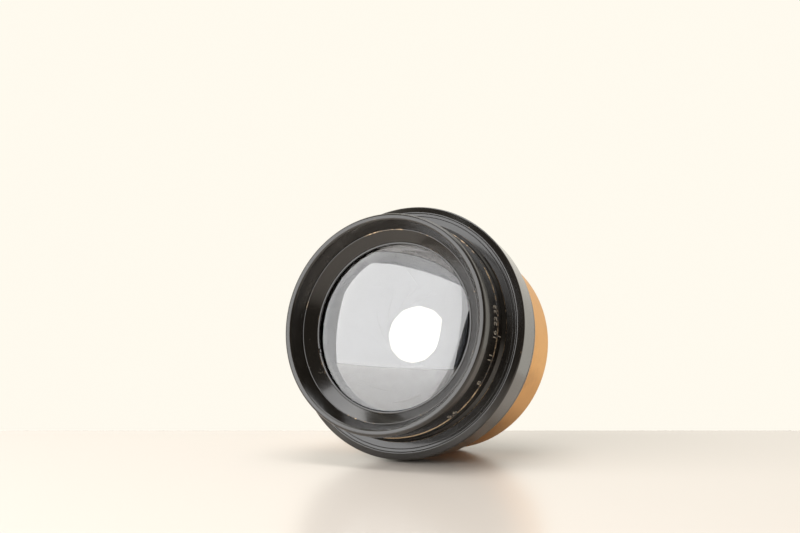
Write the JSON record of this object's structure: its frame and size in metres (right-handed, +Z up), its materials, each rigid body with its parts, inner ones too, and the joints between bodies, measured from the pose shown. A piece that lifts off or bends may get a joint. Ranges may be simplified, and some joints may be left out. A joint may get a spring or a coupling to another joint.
{
  "type": "portrait lens",
  "caption": "Large view camera lens: black lacquered housing and front ring on a satin brass barrel, with three glasses and an iris of thin leaves that the front ring opens and closes.",
  "frame": {"origin": "on the optical axis, in the rear face of the black housing that seats on the lens board", "axes": "+Y along the optical axis to the rear, -Y to the subject, +Z up, +X to the right as seen from the front"},
  "size_m": [0.0978, 0.0706, 0.0978],
  "materials": {
    "black_lacquer": "gloss black lacquer over brass, worn at the edges",
    "matt_black": "matt black",
    "satin_brass": "satin, brushed round the barrel",
    "screw_steel": "darkened",
    "leaf_steel": "blued and matt",
    "optical_glass": "polished, uncoated"
  },
  "bodies": {
    "lens_body": {"brass_barrel": "satin_brass", "main_housing": "black_lacquer", "face_plate": "black_lacquer", "index_collar": "black_lacquer", "rear_plate": "black_lacquer", "front_cell": "black_lacquer", "front_retaining_ring": "black_lacquer", "rear_cell": "black_lacquer", "rear_retaining_ring": "black_lacquer", "iris_base": "matt_black", "middle_cell": "matt_black", "middle_retaining_ring": "matt_black", "collar_grub_screw": "screw_steel", "face_grub_screw": "screw_steel", "rear_grub_screw": "screw_steel", "front_glass": "optical_glass", "middle_glass": "optical_glass", "rear_glass": "optical_glass"},
    "aperture_control": {"aperture_ring": "black_lacquer", "key_pin": "screw_steel", "stop_screw": "screw_steel", "cam_ring": "matt_black", "cam_carrier": "matt_black", "carrier_screws": "screw_steel"},
    "leaf_01": {"iris_leaf_01": "leaf_steel"},
    "leaf_02": {"iris_leaf_02": "leaf_steel"},
    "leaf_03": {"iris_leaf_03": "leaf_steel"},
    "leaf_04": {"iris_leaf_04": "leaf_steel"},
    "leaf_05": {"iris_leaf_05": "leaf_steel"},
    "leaf_06": {"iris_leaf_06": "leaf_steel"},
    "leaf_07": {"iris_leaf_07": "leaf_steel"},
    "leaf_08": {"iris_leaf_08": "leaf_steel"},
    "leaf_09": {"iris_leaf_09": "leaf_steel"},
    "leaf_10": {"iris_leaf_10": "leaf_steel"},
    "leaf_11": {"iris_leaf_11": "leaf_steel"},
    "leaf_12": {"iris_leaf_12": "leaf_steel"}
  },
  "joints": [
    {"name": "aperture_turn", "type": "hinge", "parent": "lens_body", "child": "aperture_control", "pos_m": [0, 0, 0], "axis": [0, 1, 0], "range_deg": [-47.06, 12.94]},
    {"name": "leaf_swing_01", "type": "hinge", "parent": "lens_body", "child": "leaf_01", "pos_m": [0, -0.0085, 0.038], "axis": [0, 1, 0], "range_deg": [-26.75, 7.4]},
    {"name": "leaf_swing_02", "type": "hinge", "parent": "lens_body", "child": "leaf_02", "pos_m": [0.019, -0.0085, 0.03291], "axis": [0, 1, 0], "range_deg": [-26.75, 7.4]},
    {"name": "leaf_swing_03", "type": "hinge", "parent": "lens_body", "child": "leaf_03", "pos_m": [0.03291, -0.0085, 0.019], "axis": [0, 1, 0], "range_deg": [-26.75, 7.4]},
    {"name": "leaf_swing_04", "type": "hinge", "parent": "lens_body", "child": "leaf_04", "pos_m": [0.038, -0.0085, 0], "axis": [0, 1, 0], "range_deg": [-26.75, 7.4]},
    {"name": "leaf_swing_05", "type": "hinge", "parent": "lens_body", "child": "leaf_05", "pos_m": [0.03291, -0.0085, -0.019], "axis": [0, 1, 0], "range_deg": [-26.75, 7.4]},
    {"name": "leaf_swing_06", "type": "hinge", "parent": "lens_body", "child": "leaf_06", "pos_m": [0.019, -0.0085, -0.03291], "axis": [0, 1, 0], "range_deg": [-26.75, 7.4]},
    {"name": "leaf_swing_07", "type": "hinge", "parent": "lens_body", "child": "leaf_07", "pos_m": [0, -0.0085, -0.038], "axis": [0, 1, 0], "range_deg": [-26.75, 7.4]},
    {"name": "leaf_swing_08", "type": "hinge", "parent": "lens_body", "child": "leaf_08", "pos_m": [-0.019, -0.0085, -0.03291], "axis": [0, 1, 0], "range_deg": [-26.75, 7.4]},
    {"name": "leaf_swing_09", "type": "hinge", "parent": "lens_body", "child": "leaf_09", "pos_m": [-0.03291, -0.0085, -0.019], "axis": [0, 1, 0], "range_deg": [-26.75, 7.4]},
    {"name": "leaf_swing_10", "type": "hinge", "parent": "lens_body", "child": "leaf_10", "pos_m": [-0.038, -0.0085, 0], "axis": [0, 1, 0], "range_deg": [-26.75, 7.4]},
    {"name": "leaf_swing_11", "type": "hinge", "parent": "lens_body", "child": "leaf_11", "pos_m": [-0.03291, -0.0085, 0.019], "axis": [0, 1, 0], "range_deg": [-26.75, 7.4]},
    {"name": "leaf_swing_12", "type": "hinge", "parent": "lens_body", "child": "leaf_12", "pos_m": [-0.019, -0.0085, 0.03291], "axis": [0, 1, 0], "range_deg": [-26.75, 7.4]}
  ],
  "couplings": [
    {"joint": "leaf_swing_01", "follows": "aperture_turn", "ratio": 0.56745},
    {"joint": "leaf_swing_02", "follows": "aperture_turn", "ratio": 0.56745},
    {"joint": "leaf_swing_03", "follows": "aperture_turn", "ratio": 0.56745},
    {"joint": "leaf_swing_04", "follows": "aperture_turn", "ratio": 0.56745},
    {"joint": "leaf_swing_05", "follows": "aperture_turn", "ratio": 0.56745},
    {"joint": "leaf_swing_06", "follows": "aperture_turn", "ratio": 0.56745},
    {"joint": "leaf_swing_07", "follows": "aperture_turn", "ratio": 0.56745},
    {"joint": "leaf_swing_08", "follows": "aperture_turn", "ratio": 0.56745},
    {"joint": "leaf_swing_09", "follows": "aperture_turn", "ratio": 0.56745},
    {"joint": "leaf_swing_10", "follows": "aperture_turn", "ratio": 0.56745},
    {"joint": "leaf_swing_11", "follows": "aperture_turn", "ratio": 0.56745},
    {"joint": "leaf_swing_12", "follows": "aperture_turn", "ratio": 0.56745}
  ]
}
